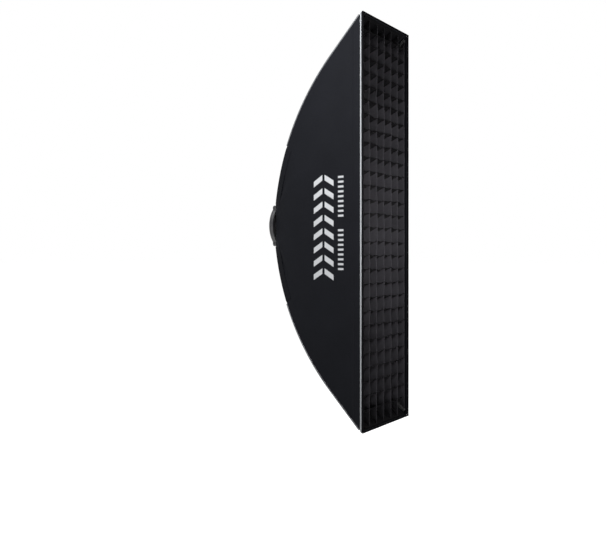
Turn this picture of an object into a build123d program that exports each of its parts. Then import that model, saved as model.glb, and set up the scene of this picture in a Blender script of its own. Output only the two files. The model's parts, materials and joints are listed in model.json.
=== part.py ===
from build123d import *
import math
import os

# Strip softbox, 300 x 1200 mm face, on a folding speed ring with an S-type bayonet.
# Frame: +Z up, the lit face looks along -Y, the lamp is on the +Y side.
# The origin is the centre of the seat face that meets the lamp.

# ---- driving dimensions (mm) -------------------------------------------------
FACE_WIDTH = 300.0          # outside of the front lip
FACE_HEIGHT = 1200.0
DEPTH = 382.0               # front edge to the lamp's seat face
FRONT = -DEPTH
LIP_DEPTH = 6.0
LIP_WALL = 3.5
FABRIC = 1.2                # shell cloth
LINING = 0.6                # reflective inner cloth
CLEAR = 0.3                 # between cloth pieces that move apart

# Corner seam of the shell: a straight front stretch, then an arc to the ring.
SEAM_TIP = (FRONT + 8.0, 597.0)
SEAM_SLOPE = 46.7           # degrees from vertical at the front
SEAM_STRAIGHT = 151.0
SEAM_RADIUS = 859.0
SEAM_ROOT_Z = 72.0          # half height of the rear opening
SEAM_END_Z = 40.0           # profiles run on past the opening, which is cut square
SEAM_STATIONS = (400.0, 300.0, 200.0, 120.0)  # heights that the curve of the plan passes through
SEAM_ROOT_X = 61.4          # half width of the rear opening
SEAM_TIP_X = 150.0
SHELL_FRONT = FRONT + 11.2  # the cloth starts behind the piping
SEAM_GAP = 2.8              # cloth edges stand back from the corner for the piping

PIPING_R = 2.4
PIPING_Y = FRONT + 8.5
PIPING_X = 149.2
PIPING_Z = 598.0
PIPING_CORNER = 6.0
PIPING_LEG = 0.5            # straight end of the corner, down each side
CORNER_PIPING_R = 2.2
CORNER_PIPING_START_Z = 591.0
CORNER_PIPING_END_Z = 245.0  # the rear of each corner is closed by a flap instead

FLAP = 1.2                   # hook-and-loop flaps that close the rear corners
FLAP_WIDTH = 26.0
FLAP_FRONT_Z = 238.0
FLAP_END_Z = 60.0

# Folding arms.
HINGE_X = 47.0
HINGE_Y = FRONT + 356.0
HINGE_Z = 58.0
ROD_R = 3.0
SOCKET_ANGLE = 15.5         # socket leans forward from the radial direction
ROD_LEAN = math.degrees(math.atan(0.18))   # rods splay sideways towards the corners
KNEE_Y = FRONT + 113.0
KNEE_T = 437.0              # along the rod plane, from the hinge
ROD_STRAIGHT = 136.0
ROD_INSERT = 14.0           # gap from hinge pin to the end of the rod
SOCKET_R = 6.5
SOCKET_START = 10.5
SOCKET_LENGTH = 52.0
TONGUE = 7.6
PIN_R = 2.5
RUNNING = 0.05              # radial clearance of a running fit
ROD_FIT = 0.25              # radial clearance of a rod in its socket
SOCKET_FILLET = 1.0
NECK_OFFSET = 5.6           # the socket's neck, from the hinge pin to the round part
NECK_WIDTH = 11.0
NECK_HEIGHT = 13.0
PIN_PROUD = 0.8             # a pin's head and tail outside the ear
CAP_R = 4.4                 # rubber cap on the tip of a rod
CAP_LENGTH = 12.0
CAP_END = 2.5
CAP_FILLET = 1.5
POCKET_R = 5.6              # sewn sleeve that the tip pushes into
POCKET_LENGTH = 42.0
POCKET_END = 4.2
POCKET_WALL = 1.2
POCKET_FLOOR = 1.4

# Speed ring and bayonet.
RING_R = 75.0
RING_FRONT = -16.0
RING_REAR = -2.0
RING_CORNER_R = 8.0         # corners of the square plate that carries the ears
RING_CHAMFER = 1.0
HUB_R = 55.9
FLANGE_R = 62.0
FLANGE_FRONT = -11.0
FLANGE_REAR = -6.0
SPIGOT_R = 48.5
SPIGOT_BORE_R = 45.0
SPIGOT_LENGTH = 9.0
LUG_R = 53.0
LUG_THICKNESS = 4.0
LUG_OVERLAP = 1.0           # how far a lug runs into the spigot
LUG_TURNS = (90, 210, 330)  # middle of each lug, in degrees
LUG_ARC = 40.0
RECESS_CIRCLE_R = 52.2      # three recesses in the seat face, between the lugs
RECESS_START = 30.0
RECESS_R = 2.0
RECESS_DEPTH = 3.0
RETAINER_R = 66.8
RETAINER_BORE_R = 54.0
RETAINER_THICKNESS = 2.9
RETAINER_GAP = 0.2          # radial gap round the retaining ring
SCREW_CIRCLE_R = 64.3
SCREW_START = 45.0
SCREW_R = 1.5
SCREW_HEAD_R = 2.4
SCREW_THREAD = 3.5
SCREW_HEAD = 1.6
SCREW_KEY_R = 1.2           # hexagon recess
SCREW_KEY_DEPTH = 0.9
LOCK_SCREW_R = 2.4
LOCK_SCREW_LENGTH = 25.0
LOCK_SCREW_GAP = 0.1        # between the screw's end and the flange when it is loose
EAR_WIDTH = 15.0
EAR_SLOT = 8.2
EAR_R = 7.0
EAR_ROOT = 1.0              # how far an ear runs into the ring
EAR_FLOOR = 0.5             # the slot stops this far short of the ring
DETENT_R = 2.0              # ball plungers that hold the arms open
DETENT_OFFSET = 3.7
PLUNGER_GAP = 0.1           # between a plunger and the socket's tongue
PLUNGER_LENGTH = 4.2
KNOB_R = 9.0
KNOB_GAP = 1.5              # between the knob and the ring
KNOB_LENGTH = 15.0
KNOB_CHAMFER = 0.8
KNOB_FLUTES = 12
FLUTE_R = 1.6
FLUTE_OFFSET = 0.9          # centre of each flute outside the knob's rim

# Light-control grid: cloth strips crossing with half-depth slots.
GRID_FRONT = FRONT + 10.0
GRID_DEPTH = 38.0
GRID_HALF_WIDTH = 139.0
GRID_HALF_HEIGHT = 588.0
GRID_COLUMNS = 6
GRID_ROWS = 29
STRIP = 1.0

SLOT = STRIP + 0.2
BORDER_INSETS = (2.4, 4.2)  # hemmed borders lie just inside the lining
BORDER_HALF_WIDTH = 127.0   # they stop short of the rod pockets
INNER_STRIP_INSET = 5.0
OUTER_STRIP_INSET = 15.5
CORNER_ROW_Z = 540.0        # rows beyond this height stop short of the rods

# Front diffuser, inside the lip, and inner baffle, half way back.
DIFFUSER_Y = FRONT + 52.0
DIFFUSER_HALF = (137.0, 549.0)
DIFFUSER_NOTCH = 24.0
CLOTH = 0.8
TAPE_INSETS = (2.6, 4.1)
TAPE_FRONT = FRONT + 53.0
TAPE_REAR = FRONT + 62.0
BAFFLE_Y = FRONT + 170.0
BAFFLE_HALF = (98.0, 390.0)
BAFFLE_CORNER_R = 10.0
STRAP_WIDTH = 12.0
STRAP = 1.0
STRAP_END_X = 119.0
STRAP_FROM_EDGE = 16.0      # middle of a strap, from the baffle's short edge
TAB = (1.2, 16.0, 22.0)     # sewn to the side cloth at the end of a strap
TAB_LAP = 0.2               # how far a strap runs into its tab
TAB_LEAN = 10.5             # degrees that the side cloth leans at the baffle

SIDES = {"left": -1, "right": 1}
LEVELS = {"upper": 1, "lower": -1}

# ---- geometry of the corner seam ---------------------------------------------
slope = math.radians(SEAM_SLOPE)
SEAM_KNEE = (
    SEAM_TIP[0] + SEAM_STRAIGHT * math.sin(slope),
    SEAM_TIP[1] - SEAM_STRAIGHT * math.cos(slope),
)
SEAM_CENTRE = (
    SEAM_KNEE[0] - SEAM_RADIUS * math.cos(slope),
    SEAM_KNEE[1] - SEAM_RADIUS * math.sin(slope),
)
SPREAD = (SEAM_TIP_X - SEAM_ROOT_X) / (SEAM_TIP[1] - SEAM_ROOT_Z)


def seam_y(z):
    """Y of the corner seam at the height z."""
    if z >= SEAM_KNEE[1]:
        return SEAM_TIP[0] + (SEAM_TIP[1] - z) * math.tan(slope)
    return SEAM_CENTRE[0] + math.sqrt(SEAM_RADIUS**2 - (z - SEAM_CENTRE[1]) ** 2)


def seam_x(z):
    """Half width of the shell where its corner seam is at the height z."""
    return SEAM_ROOT_X + (z - SEAM_ROOT_Z) * SPREAD


SHELL_REAR = seam_y(SEAM_ROOT_Z) - 1.5


def height_face(inset):
    """Side elevation of the shell, shrunk by inset along its outline, in Plane.YZ."""
    root_angle = math.asin((SEAM_END_Z - SEAM_CENTRE[1]) / SEAM_RADIUS)
    front = (SEAM_TIP[0] - inset * math.cos(slope), SEAM_TIP[1] - inset * math.sin(slope))
    knee = (SEAM_KNEE[0] - inset * math.cos(slope), SEAM_KNEE[1] - inset * math.sin(slope))
    root = (
        SEAM_CENTRE[0] + (SEAM_RADIUS - inset) * math.cos(root_angle),
        SEAM_CENTRE[1] + (SEAM_RADIUS - inset) * math.sin(root_angle),
    )
    with BuildSketch(Plane.YZ) as sketch:
        with BuildLine():
            straight = Line(front, knee)
            arc = TangentArc(knee, root, tangent=straight % 1)
            Line(arc @ 1, (root[0], 0))
            Line((root[0], 0), (front[0], 0))
            Line((front[0], 0), front)
        make_face()
        mirror(about=Plane.XZ)
    return sketch


def width_face(inset):
    """Plan of the shell, shrunk by inset in X, in Plane.XY."""
    stations = (SEAM_KNEE[1], *SEAM_STATIONS, SEAM_END_Z)
    curve = [(seam_x(z) - inset, seam_y(z)) for z in stations]
    front = (SEAM_TIP_X - inset, SEAM_TIP[0])
    with BuildSketch(Plane.XY) as sketch:
        with BuildLine():
            Line(front, curve[0])
            Spline(*curve)
            Line(curve[-1], (0, curve[-1][1]))
            Line((0, curve[-1][1]), (0, SEAM_TIP[0]))
            Line((0, SEAM_TIP[0]), front)
        make_face()
        mirror(about=Plane.YZ)
    return sketch


def keep_between(front, rear, x_sign=0, z_sign=0):
    """Keep the part of the current solid between two Y planes and on one side."""
    span = 2000.0
    centre = (x_sign * span / 2, (front + rear) / 2, z_sign * span / 2)
    with Locations(centre):
        Box(span, rear - front, span, mode=Mode.INTERSECT)


def save(builder, name):
    """Label a finished piece and write it as its own STEP file."""
    builder.part.label = name
    export_step(builder.part, f"parts/{name}.step")


os.makedirs("parts", exist_ok=True)

# ---- bayonet adapter: the part that enters the lamp --------------------------
with BuildPart() as bayonet_adapter:
    with BuildSketch(Plane.XZ.offset(-FLANGE_FRONT)):
        Circle(FLANGE_R)
    extrude(amount=-(FLANGE_REAR - FLANGE_FRONT))
    with BuildSketch(Plane.XZ.offset(-FLANGE_REAR)):
        Circle(HUB_R)
    extrude(amount=FLANGE_REAR)
    with BuildSketch(Plane.XZ):
        Circle(SPIGOT_R)
    extrude(amount=-SPIGOT_LENGTH)
    with BuildSketch(Plane.XZ.offset(LUG_THICKNESS - SPIGOT_LENGTH)):
        for turn in LUG_TURNS:
            with BuildLine():
                inner = CenterArc((0, 0), SPIGOT_R - LUG_OVERLAP, turn - LUG_ARC / 2, LUG_ARC)
                outer = CenterArc((0, 0), LUG_R, turn - LUG_ARC / 2, LUG_ARC)
                Line(inner @ 0, outer @ 0)
                Line(inner @ 1, outer @ 1)
            make_face()
    extrude(amount=-LUG_THICKNESS)
    with BuildSketch(Plane.XZ.offset(-FLANGE_FRONT)):
        Circle(SPIGOT_BORE_R)
    extrude(amount=-(SPIGOT_LENGTH - FLANGE_FRONT), mode=Mode.SUBTRACT)
    with BuildSketch(Plane.XZ):
        with PolarLocations(RECESS_CIRCLE_R, len(LUG_TURNS), start_angle=RECESS_START):
            Circle(RECESS_R)
    extrude(amount=RECESS_DEPTH, mode=Mode.SUBTRACT)
save(bayonet_adapter, "bayonet_adapter")

# ---- speed ring with four hinge ears -----------------------------------------
ear_rear = RING_FRONT + EAR_ROOT
slot_front = HINGE_Y - 2 * EAR_R
slot_rear = RING_FRONT - EAR_FLOOR
with BuildPart() as speed_ring:
    with BuildSketch(Plane.XZ.offset(-RING_FRONT)):
        Circle(RING_R)
        RectangleRounded(2 * HINGE_X + EAR_WIDTH, 2 * (HINGE_Z + EAR_R), RING_CORNER_R)
    extrude(amount=-(RING_REAR - RING_FRONT))
    chamfer(speed_ring.faces().sort_by(Axis.Y)[-1].outer_wire().edges(), RING_CHAMFER)
    with BuildSketch(Plane.XZ.offset(-RING_FRONT)):
        Circle(RETAINER_R + RETAINER_GAP)
    extrude(amount=-(FLANGE_FRONT - RING_FRONT), mode=Mode.SUBTRACT)
    with BuildSketch(Plane.XZ.offset(-FLANGE_FRONT)):
        Circle(FLANGE_R + RUNNING)
    extrude(amount=-(FLANGE_REAR - FLANGE_FRONT), mode=Mode.SUBTRACT)
    with BuildSketch(Plane.XZ.offset(-FLANGE_REAR)):
        Circle(HUB_R + RUNNING)
    extrude(amount=-(RING_REAR - FLANGE_REAR), mode=Mode.SUBTRACT)
    for side in SIDES.values():
        for level in LEVELS.values():
            centre_x = side * HINGE_X
            centre_z = level * HINGE_Z
            with BuildSketch(Plane.YZ.offset(centre_x - EAR_WIDTH / 2)):
                with Locations((HINGE_Y, centre_z)):
                    Circle(EAR_R)
                with Locations(((HINGE_Y + ear_rear) / 2, centre_z)):
                    Rectangle(ear_rear - HINGE_Y, 2 * EAR_R)
            extrude(amount=EAR_WIDTH)
            with Locations((centre_x, (slot_front + slot_rear) / 2, centre_z)):
                Box(EAR_SLOT, slot_rear - slot_front, 3 * EAR_R, mode=Mode.SUBTRACT)
            with BuildSketch(Plane.YZ.offset(centre_x - EAR_WIDTH / 2)):
                with Locations((HINGE_Y, centre_z)):
                    Circle(PIN_R)
            extrude(amount=EAR_WIDTH, mode=Mode.SUBTRACT)
            with BuildSketch(Plane.YZ.offset(side * (HINGE_X + EAR_SLOT / 2))):
                with Locations((HINGE_Y + DETENT_OFFSET, level * (HINGE_Z - DETENT_OFFSET))):
                    Circle(DETENT_R)
            extrude(amount=side * EAR_WIDTH, mode=Mode.SUBTRACT)
    with BuildSketch(Plane.XZ.offset(-FLANGE_FRONT)):
        with PolarLocations(SCREW_CIRCLE_R, 4, start_angle=SCREW_START):
            Circle(SCREW_R)
    extrude(amount=-SCREW_THREAD, mode=Mode.SUBTRACT)
    with BuildSketch(Plane.YZ.offset(FLANGE_R - LOCK_SCREW_R)):
        with Locations(((FLANGE_FRONT + FLANGE_REAR) / 2, 0)):
            Circle(LOCK_SCREW_R + RUNNING)
    extrude(amount=LOCK_SCREW_LENGTH, mode=Mode.SUBTRACT)
save(speed_ring, "speed_ring")

# ---- retaining ring and its screws -------------------------------------------
with BuildPart() as retaining_ring:
    with BuildSketch(Plane.XZ.offset(-FLANGE_FRONT + RUNNING)):
        Circle(RETAINER_R)
        Circle(RETAINER_BORE_R, mode=Mode.SUBTRACT)
        with PolarLocations(SCREW_CIRCLE_R, 4, start_angle=SCREW_START):
            Circle(SCREW_R, mode=Mode.SUBTRACT)
    extrude(amount=RETAINER_THICKNESS)
save(retaining_ring, "retaining_ring")

with BuildPart() as retaining_screws:
    seat = -FLANGE_FRONT + RUNNING + RETAINER_THICKNESS
    with BuildSketch(Plane.XZ.offset(seat)):
        with PolarLocations(SCREW_CIRCLE_R, 4, start_angle=SCREW_START):
            Circle(SCREW_R)
    extrude(amount=-(RETAINER_THICKNESS + RUNNING + SCREW_THREAD))
    with BuildSketch(Plane.XZ.offset(seat)):
        with PolarLocations(SCREW_CIRCLE_R, 4, start_angle=SCREW_START):
            Circle(SCREW_HEAD_R)
    extrude(amount=SCREW_HEAD)
    with BuildSketch(Plane.XZ.offset(seat + SCREW_HEAD)):
        with PolarLocations(SCREW_CIRCLE_R, 4, start_angle=SCREW_START):
            RegularPolygon(SCREW_KEY_R, 6)
    extrude(amount=-SCREW_KEY_DEPTH, mode=Mode.SUBTRACT)
save(retaining_screws, "retaining_screws")

# ---- lock knob: clamps the adapter's flange so that the box stops turning ----
lock_y = (FLANGE_FRONT + FLANGE_REAR) / 2
lock_start = FLANGE_R + LOCK_SCREW_GAP
knob_start = RING_R + KNOB_GAP
with BuildPart() as lock_screw:
    with BuildSketch(Plane.YZ.offset(lock_start)):
        with Locations((lock_y, 0)):
            Circle(LOCK_SCREW_R)
    extrude(amount=LOCK_SCREW_LENGTH)
save(lock_screw, "lock_screw")

with BuildPart() as lock_knob:
    with BuildSketch(Plane.YZ.offset(knob_start)):
        with Locations((lock_y, 0)):
            Circle(KNOB_R)
            with PolarLocations(KNOB_R + FLUTE_OFFSET, KNOB_FLUTES):
                Circle(FLUTE_R, mode=Mode.SUBTRACT)
    extrude(amount=KNOB_LENGTH)
    chamfer(lock_knob.faces().sort_by(Axis.X)[-1].outer_wire().edges(), KNOB_CHAMFER)
    with BuildSketch(Plane.YZ.offset(knob_start)):
        with Locations((lock_y, 0)):
            Circle(LOCK_SCREW_R)
    extrude(amount=lock_start + LOCK_SCREW_LENGTH - knob_start, mode=Mode.SUBTRACT)
save(lock_knob, "lock_knob")

# ---- hinge pins and ball plungers, one of each in every ear ------------------
with BuildPart() as hinge_pins:
    for side in SIDES.values():
        with BuildSketch(Plane.YZ.offset(side * HINGE_X - EAR_WIDTH / 2 - PIN_PROUD)):
            for level in LEVELS.values():
                with Locations((HINGE_Y, level * HINGE_Z)):
                    Circle(PIN_R)
        extrude(amount=EAR_WIDTH + 2 * PIN_PROUD)
save(hinge_pins, "hinge_pins")

with BuildPart() as ball_plungers:
    for side in SIDES.values():
        with BuildSketch(Plane.YZ.offset(side * (HINGE_X + TONGUE / 2 + PLUNGER_GAP))):
            for level in LEVELS.values():
                with Locations((HINGE_Y + DETENT_OFFSET, level * (HINGE_Z - DETENT_OFFSET))):
                    Circle(DETENT_R)
        extrude(amount=side * PLUNGER_LENGTH)
save(ball_plungers, "ball_plungers")


# ---- folding arms: sockets, rods, tip caps and the pockets they push into ----
lean = math.radians(ROD_LEAN)
socket_lean = math.radians(SOCKET_ANGLE)
socket_direction = (-math.sin(socket_lean), math.cos(socket_lean))
rod_root = (ROD_INSERT * socket_direction[0], ROD_INSERT * socket_direction[1])
SOCKET_MOUTH = SOCKET_START + SOCKET_LENGTH
rod_mouth = (SOCKET_MOUTH * socket_direction[0], SOCKET_MOUTH * socket_direction[1])
rod_knee = (KNEE_Y - HINGE_Y, KNEE_T)
chord = (rod_knee[0] - rod_mouth[0], rod_knee[1] - rod_mouth[1])
chord_lean = math.atan2(-chord[0], chord[1])
half_turn = chord_lean - socket_lean
sagitta = math.hypot(*chord) / 2 * math.tan(half_turn / 2)
rod_middle = (
    (rod_mouth[0] + rod_knee[0]) / 2 + sagitta * math.cos(chord_lean),
    (rod_mouth[1] + rod_knee[1]) / 2 + sagitta * math.sin(chord_lean),
)
tip_lean = socket_lean + 2 * half_turn
rod_tip = (
    rod_knee[0] - ROD_STRAIGHT * math.sin(tip_lean),
    rod_knee[1] + ROD_STRAIGHT * math.cos(tip_lean),
)


def rod_plane(side, level):
    """Plane that holds one rod: local x runs along +Y, local y outwards along the rod."""
    hinge = (side * HINGE_X, HINGE_Y, level * HINGE_Z)
    normal = (level * math.cos(lean), 0, -side * math.sin(lean))
    return Plane(origin=hinge, x_dir=(0, 1, 0), z_dir=normal)


def rod_path(plane):
    """Centre line of a rod, from its end inside the socket to its tip."""
    with BuildLine(plane) as line:
        Line(rod_root, rod_mouth)
        ThreePointArc(rod_mouth, rod_middle, rod_knee)
        Line(rod_knee, rod_tip)
    return line


for level_name, level in LEVELS.items():
    for side_name, side in SIDES.items():
        prefix = f"{level_name}_{side_name}"
        plane = rod_plane(side, level)
        wire = rod_path(plane).wires()[0]
        tip = Plane(origin=wire @ 1, z_dir=wire % 1)
        base = plane.from_local_coords((
            SOCKET_START * socket_direction[0], SOCKET_START * socket_direction[1], 0
        ))
        axis = plane.from_local_coords((socket_direction[0], socket_direction[1], 0)) - plane.origin
        socket_base = Plane(origin=base, z_dir=axis)

        with BuildPart() as rod:
            with BuildSketch(Plane(origin=wire @ 0, z_dir=wire % 0)):
                Circle(ROD_R)
            sweep(path=wire)
        save(rod, f"{prefix}_rod")

        with BuildPart() as socket:
            with BuildSketch(Plane.YZ.offset(side * HINGE_X - TONGUE / 2)):
                with Locations((HINGE_Y, level * HINGE_Z)):
                    Circle(SOCKET_R)
                neck_y = HINGE_Y + NECK_OFFSET * socket_direction[0]
                with Locations((neck_y, level * (HINGE_Z + NECK_OFFSET))):
                    Rectangle(NECK_WIDTH, NECK_HEIGHT)
            extrude(amount=TONGUE)
            with BuildSketch(socket_base):
                Circle(SOCKET_R)
            extrude(amount=SOCKET_LENGTH)
            fillet(socket.faces().sort_by(Axis(base, axis))[-1].edges(), SOCKET_FILLET)
            with BuildSketch(Plane.YZ.offset(side * HINGE_X - TONGUE)):
                with Locations((HINGE_Y, level * HINGE_Z)):
                    Circle(PIN_R + RUNNING)
            extrude(amount=2 * TONGUE, mode=Mode.SUBTRACT)
            with BuildSketch(Plane(origin=wire @ 0, z_dir=axis)):
                Circle(ROD_R + ROD_FIT)
            extrude(amount=SOCKET_LENGTH, mode=Mode.SUBTRACT)
        save(socket, f"{prefix}_socket")

        with BuildPart() as cap:
            with BuildSketch(tip):
                Circle(CAP_R)
            extrude(amount=CAP_END)
            extrude(cap.faces().sort_by(Axis(tip.origin, tip.z_dir))[0], amount=CAP_LENGTH)
            with BuildSketch(tip):
                Circle(ROD_R)
            extrude(amount=-CAP_LENGTH, mode=Mode.SUBTRACT)
            fillet(cap.faces().sort_by(Axis(tip.origin, tip.z_dir))[-1].edges(), CAP_FILLET)
        save(cap, f"{prefix}_rod_cap")

        with BuildPart() as pocket:
            with BuildSketch(tip.offset(POCKET_END)):
                Circle(POCKET_R)
            extrude(amount=-POCKET_LENGTH)
            with BuildSketch(tip.offset(POCKET_END - POCKET_FLOOR)):
                Circle(POCKET_R - POCKET_WALL)
            extrude(amount=-POCKET_LENGTH, mode=Mode.SUBTRACT)
        save(pocket, f"{prefix}_pocket")


# ---- shell cloth -------------------------------------------------------------
def band(profile, plane, outer, inner):
    """Thin outline between two insets of a profile."""
    with BuildSketch(plane) as sketch:
        add(profile(outer).sketch_local)
        add(profile(inner).sketch_local, mode=Mode.SUBTRACT)
    return sketch.sketch


def side_cloth(side, outer, inner, edge):
    """Cloth on the left or right between two insets, its long edges edge mm from the corner."""
    with BuildPart() as cloth:
        extrude(band(width_face, Plane.XY, outer, inner), amount=FACE_HEIGHT, both=True)
        extrude(height_face(edge).sketch, amount=FACE_WIDTH, both=True, mode=Mode.INTERSECT)
        keep_between(SHELL_FRONT, SHELL_REAR, x_sign=side)
    return cloth


def end_cloth(level, outer, inner, edge):
    """Cloth on the top or bottom between two insets, its long edges edge mm from the corner."""
    with BuildPart() as cloth:
        extrude(band(height_face, Plane.YZ, outer, inner), amount=FACE_WIDTH, both=True)
        extrude(width_face(edge).sketch, amount=FACE_HEIGHT, both=True, mode=Mode.INTERSECT)
        keep_between(SHELL_FRONT, SHELL_REAR, z_sign=level)
    return cloth


INNER = FABRIC + LINING
for side_name, side in SIDES.items():
    save(side_cloth(side, 0, FABRIC, SEAM_GAP), f"{side_name}_panel")
    save(side_cloth(side, FABRIC, INNER, SEAM_GAP), f"{side_name}_lining")

for end_name, level in (("top", 1), ("bottom", -1)):
    save(end_cloth(level, 0, FABRIC, SEAM_GAP), f"{end_name}_panel")
    save(end_cloth(level, FABRIC, INNER, SEAM_GAP), f"{end_name}_lining")

# ---- front lip and silver-grey piping ----------------------------------------
half_width = FACE_WIDTH / 2
half_height = FACE_HEIGHT / 2
for side_name, side in SIDES.items():
    with BuildPart() as lip:
        with Locations((side * (half_width - LIP_WALL / 2), FRONT + LIP_DEPTH / 2, 0)):
            Box(LIP_WALL, LIP_DEPTH, FACE_HEIGHT - 2 * (LIP_WALL + CLEAR))
    save(lip, f"{side_name}_lip")

    with BuildPart() as piping:
        length = 2 * (PIPING_Z - PIPING_CORNER - PIPING_LEG - CLEAR)
        with Locations((side * PIPING_X, PIPING_Y, 0)):
            Cylinder(PIPING_R, length)
    save(piping, f"{side_name}_piping")

for end_name, level in (("top", 1), ("bottom", -1)):
    with BuildPart() as lip:
        with Locations((0, FRONT + LIP_DEPTH / 2, level * (half_height - LIP_WALL / 2))):
            Box(FACE_WIDTH, LIP_DEPTH, LIP_WALL)
    save(lip, f"{end_name}_lip")

    with BuildPart() as piping:
        rise = level * (PIPING_Z - PIPING_CORNER)
        with BuildLine(Plane.XZ.offset(-PIPING_Y)) as route:
            FilletPolyline(
                (-PIPING_X, rise - level * PIPING_LEG),
                (-PIPING_X, level * PIPING_Z),
                (PIPING_X, level * PIPING_Z),
                (PIPING_X, rise - level * PIPING_LEG),
                radius=PIPING_CORNER,
            )
        path = route.wires()[0]
        with BuildSketch(Plane(origin=path @ 0, z_dir=path % 0)):
            Circle(PIPING_R)
        sweep(path=path)
    save(piping, f"{end_name}_piping")

# ---- corner piping, one cord on each corner seam -----------------------------
seam_lean = math.atan(SPREAD)


def seam_local(z):
    """Point of the corner seam at the height z, in the seam's own plane."""
    return (seam_y(z) - SEAM_KNEE[0], (z - SEAM_KNEE[1]) / math.cos(seam_lean))


for level_name, level in LEVELS.items():
    for side_name, side in SIDES.items():
        origin = (side * seam_x(SEAM_KNEE[1]), SEAM_KNEE[0], level * SEAM_KNEE[1])
        normal = (level * math.cos(seam_lean), 0, -side * math.sin(seam_lean))
        seam_plane = Plane(origin=origin, x_dir=(0, 1, 0), z_dir=normal)
        middle_z = (SEAM_KNEE[1] + CORNER_PIPING_END_Z) / 2
        with BuildPart() as piping:
            with BuildLine(seam_plane) as route:
                Line(seam_local(CORNER_PIPING_START_Z), (0, 0))
                ThreePointArc((0, 0), seam_local(middle_z), seam_local(CORNER_PIPING_END_Z))
            path = route.wires()[0]
            with BuildSketch(Plane(origin=path @ 0, z_dir=path % 0)):
                Circle(CORNER_PIPING_R)
            sweep(path=path)
        save(piping, f"{level_name}_{side_name}_piping")


# ---- closure flaps over the rear corners -------------------------------------
for level_name, level in LEVELS.items():
    for side_name, side in SIDES.items():
        outside = -CLEAR - FLAP
        with BuildPart() as side_flange:
            extrude(band(width_face, Plane.XY, outside, -CLEAR), amount=FACE_HEIGHT, both=True)
            extrude(
                band(height_face, Plane.YZ, outside, FLAP_WIDTH),
                amount=FACE_WIDTH,
                both=True,
                mode=Mode.INTERSECT,
            )
            keep_between(seam_y(FLAP_FRONT_Z), SHELL_REAR, side, level)
            with Locations((0, 0, level * (FLAP_END_Z + FACE_HEIGHT / 2))):
                Box(2 * FACE_WIDTH, 2 * DEPTH, FACE_HEIGHT, mode=Mode.INTERSECT)
        with BuildPart() as end_flange:
            extrude(band(height_face, Plane.YZ, outside, -CLEAR), amount=FACE_WIDTH, both=True)
            extrude(
                band(width_face, Plane.XY, outside, FLAP_WIDTH),
                amount=FACE_HEIGHT,
                both=True,
                mode=Mode.INTERSECT,
            )
            keep_between(seam_y(FLAP_FRONT_Z), SHELL_REAR, side, level)
        with BuildPart() as flap:
            add(side_flange.part)
            add(end_flange.part)
        save(flap, f"{level_name}_{side_name}_flap")

# ---- inner baffle and its elastic straps -------------------------------------
with BuildPart() as inner_baffle:
    with BuildSketch(Plane.XZ.offset(-BAFFLE_Y)):
        RectangleRounded(2 * BAFFLE_HALF[0], 2 * BAFFLE_HALF[1], BAFFLE_CORNER_R)
    extrude(amount=CLOTH)
save(inner_baffle, "inner_baffle")

strap_z = BAFFLE_HALF[1] - STRAP_FROM_EDGE
strap_length = STRAP_END_X - BAFFLE_HALF[0] - CLEAR
tab_x = STRAP_END_X + TAB[0] / 2 - TAB_LAP
with BuildPart() as baffle_straps:
    for side in SIDES.values():
        for level in LEVELS.values():
            with Locations((side * (STRAP_END_X - strap_length / 2), BAFFLE_Y, level * strap_z)):
                Box(strap_length, STRAP, STRAP_WIDTH)
            with Locations(Location((side * tab_x, BAFFLE_Y, level * strap_z), (0, 0, side * TAB_LEAN))):
                Box(*TAB)
save(baffle_straps, "baffle_straps")


# ---- front diffuser with hook tape along its edges ---------------------------
def side_strip(insets, front, rear, reach):
    """Tape along both sides, lying just inside the lining."""
    with BuildPart() as strip:
        extrude(band(width_face, Plane.XY, *insets), amount=reach, both=True)
        keep_between(front, rear)
    return strip


def end_strip(level, insets, front, rear, reach):
    """Tape along the top or bottom, lying just inside the lining."""
    with BuildPart() as strip:
        extrude(band(height_face, Plane.YZ, *insets), amount=reach, both=True)
        keep_between(front, rear, z_sign=level)
    return strip


with BuildPart() as front_diffuser:
    with BuildSketch(Plane.XZ.offset(-DIFFUSER_Y)):
        Rectangle(2 * DIFFUSER_HALF[0], 2 * DIFFUSER_HALF[1])
        with GridLocations(2 * DIFFUSER_HALF[0], 2 * DIFFUSER_HALF[1], 2, 2):
            Rectangle(2 * DIFFUSER_NOTCH, 2 * DIFFUSER_NOTCH, mode=Mode.SUBTRACT)
    extrude(amount=CLOTH)
save(front_diffuser, "front_diffuser")

side_reach = DIFFUSER_HALF[1] - DIFFUSER_NOTCH
save(side_strip(TAPE_INSETS, TAPE_FRONT, TAPE_REAR, side_reach), "diffuser_side_tapes")
end_reach = DIFFUSER_HALF[0] - DIFFUSER_NOTCH
for end_name, level in (("top", 1), ("bottom", -1)):
    tape = end_strip(level, TAPE_INSETS, TAPE_FRONT, TAPE_REAR, end_reach)
    save(tape, f"diffuser_{end_name}_tape")

# ---- light-control grid ------------------------------------------------------
column_pitch = 2 * GRID_HALF_WIDTH / GRID_COLUMNS
row_pitch = 2 * GRID_HALF_HEIGHT / GRID_ROWS
grid_rear = GRID_FRONT + GRID_DEPTH
grid_middle = GRID_FRONT + GRID_DEPTH / 2
row_heights = [row * row_pitch - GRID_HALF_HEIGHT for row in range(1, GRID_ROWS)]
column_places = [column * column_pitch - GRID_HALF_WIDTH for column in range(1, GRID_COLUMNS)]

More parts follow.
